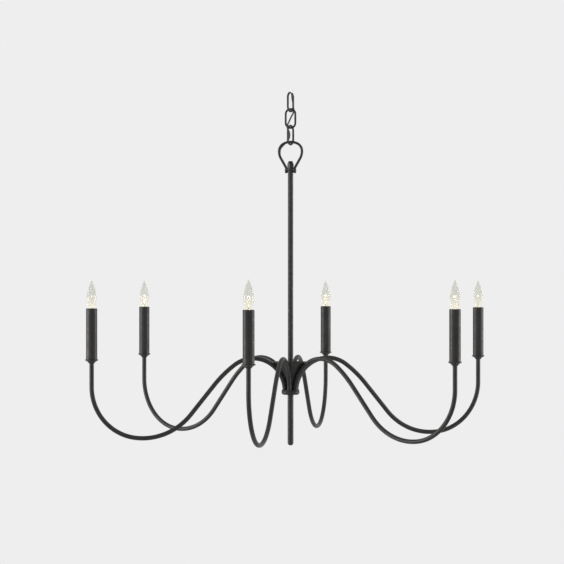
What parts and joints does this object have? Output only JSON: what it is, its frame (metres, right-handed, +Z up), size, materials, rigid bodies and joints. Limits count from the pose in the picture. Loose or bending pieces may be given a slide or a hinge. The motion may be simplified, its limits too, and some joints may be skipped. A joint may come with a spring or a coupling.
{
  "type": "candle chandelier",
  "caption": "Wrought-iron candle chandelier: arms curve up and out of a central hub into tall candles with flame bulbs, hung from a short chain and loop.",
  "frame": {"origin": "the point inside the top link of the chain that the ceiling hook bears on", "axes": "+Z up along the centre rod, +X from the centre line through the first candle"},
  "size_m": [0.8564, 0.7452, 0.7209],
  "materials": {
    "iron": "satin near-black powder coat with a faint brown cast and a fine orange-peel texture",
    "cord_jacket": "matt",
    "rubber": "matt",
    "cap_plastic": "matt",
    "lead_insulation": "satin",
    "plated_steel": "zinc plated",
    "brass": "plain",
    "socket_plastic": "moulded",
    "bulb_glass": "thin clear-to-cream glass",
    "plated_base": "nickel plated",
    "filament": "drawn wire"
  },
  "bodies": {
    "top_link": {"chain_link_top": "iron", "cord_upper": "cord_jacket"},
    "middle_link": {"chain_link_middle": "iron"},
    "bottom_link": {"chain_link_bottom": "iron", "cord_middle": "cord_jacket"},
    "fixture": {"hanging_loop": "iron", "loop_nut": "iron", "cord_grommet": "rubber", "centre_rod": "iron", "hub_body": "iron", "hub_cup": "iron", "crimp_caps": "cap_plastic", "lower_stem": "iron", "arm_leads": "lead_insulation", "arm_nipples": "plated_steel", "screw_shells": "brass", "arm_1": "iron", "arm_2": "iron", "arm_3": "iron", "arm_4": "iron", "arm_5": "iron", "arm_6": "iron", "candle_cup_1": "iron", "candle_cup_2": "iron", "candle_cup_3": "iron", "candle_cup_4": "iron", "candle_cup_5": "iron", "candle_cup_6": "iron", "socket_1": "socket_plastic", "socket_2": "socket_plastic", "socket_3": "socket_plastic", "socket_4": "socket_plastic", "socket_5": "socket_plastic", "socket_6": "socket_plastic", "cord_in_rod": "cord_jacket", "cord_lower": "cord_jacket"},
    "candle_sleeve_1": {"sleeve_1": "iron"},
    "candle_sleeve_2": {"sleeve_2": "iron"},
    "candle_sleeve_3": {"sleeve_3": "iron"},
    "candle_sleeve_4": {"sleeve_4": "iron"},
    "candle_sleeve_5": {"sleeve_5": "iron"},
    "candle_sleeve_6": {"sleeve_6": "iron"},
    "bulb_1": {"bulb_glass_1": "bulb_glass", "bulb_base_1": "plated_base", "filament_1": "filament"},
    "bulb_2": {"bulb_glass_2": "bulb_glass", "bulb_base_2": "plated_base", "filament_2": "filament"},
    "bulb_3": {"bulb_glass_3": "bulb_glass", "bulb_base_3": "plated_base", "filament_3": "filament"},
    "bulb_4": {"bulb_glass_4": "bulb_glass", "bulb_base_4": "plated_base", "filament_4": "filament"},
    "bulb_5": {"bulb_glass_5": "bulb_glass", "bulb_base_5": "plated_base", "filament_5": "filament"},
    "bulb_6": {"bulb_glass_6": "bulb_glass", "bulb_base_6": "plated_base", "filament_6": "filament"}
  },
  "joints": [
    {"name": "middle_link_swing", "type": "hinge", "parent": "top_link", "child": "middle_link", "pos_m": [0, 0, -0.0361], "axis": [0.5299, 0.848, 0], "range_deg": [-25, 25], "deforming": ["cord_upper"]},
    {"name": "bottom_link_swing", "type": "hinge", "parent": "middle_link", "child": "bottom_link", "pos_m": [0, 0, -0.0697], "axis": [-0.6157, 0.788, 0], "range_deg": [-25, 25], "deforming": ["cord_middle"]},
    {"name": "fixture_swing", "type": "hinge", "parent": "bottom_link", "child": "fixture", "pos_m": [0, 0, -0.1033], "axis": [0.5299, 0.848, 0], "range_deg": [-25, 25], "deforming": ["cord_lower"]},
    {"name": "sleeve_1_lift", "type": "slide", "parent": "fixture", "child": "candle_sleeve_1", "axis": [0, 0, 1], "range_m": [0, 0.01]},
    {"name": "sleeve_2_lift", "type": "slide", "parent": "fixture", "child": "candle_sleeve_2", "axis": [0, 0, 1], "range_m": [0, 0.01]},
    {"name": "sleeve_3_lift", "type": "slide", "parent": "fixture", "child": "candle_sleeve_3", "axis": [0, 0, 1], "range_m": [0, 0.01]},
    {"name": "sleeve_4_lift", "type": "slide", "parent": "fixture", "child": "candle_sleeve_4", "axis": [0, 0, 1], "range_m": [0, 0.01]},
    {"name": "sleeve_5_lift", "type": "slide", "parent": "fixture", "child": "candle_sleeve_5", "axis": [0, 0, 1], "range_m": [0, 0.01]},
    {"name": "sleeve_6_lift", "type": "slide", "parent": "fixture", "child": "candle_sleeve_6", "axis": [0, 0, 1], "range_m": [0, 0.01]},
    {"name": "bulb_1_turn", "type": "hinge", "parent": "fixture", "child": "bulb_1", "pos_m": [0.415, 0, -0.4438], "axis": [0, 0, 1], "range_deg": [0, 1080]},
    {"name": "bulb_2_turn", "type": "hinge", "parent": "fixture", "child": "bulb_2", "pos_m": [0.2075, 0.3594, -0.4438], "axis": [0, 0, 1], "range_deg": [0, 1080]},
    {"name": "bulb_3_turn", "type": "hinge", "parent": "fixture", "child": "bulb_3", "pos_m": [-0.2075, 0.3594, -0.4438], "axis": [0, 0, 1], "range_deg": [0, 1080]},
    {"name": "bulb_4_turn", "type": "hinge", "parent": "fixture", "child": "bulb_4", "pos_m": [-0.415, 0, -0.4438], "axis": [0, 0, 1], "range_deg": [0, 1080]},
    {"name": "bulb_5_turn", "type": "hinge", "parent": "fixture", "child": "bulb_5", "pos_m": [-0.2075, -0.3594, -0.4438], "axis": [0, 0, 1], "range_deg": [0, 1080]},
    {"name": "bulb_6_turn", "type": "hinge", "parent": "fixture", "child": "bulb_6", "pos_m": [0.2075, -0.3594, -0.4438], "axis": [0, 0, 1], "range_deg": [0, 1080]}
  ]
}
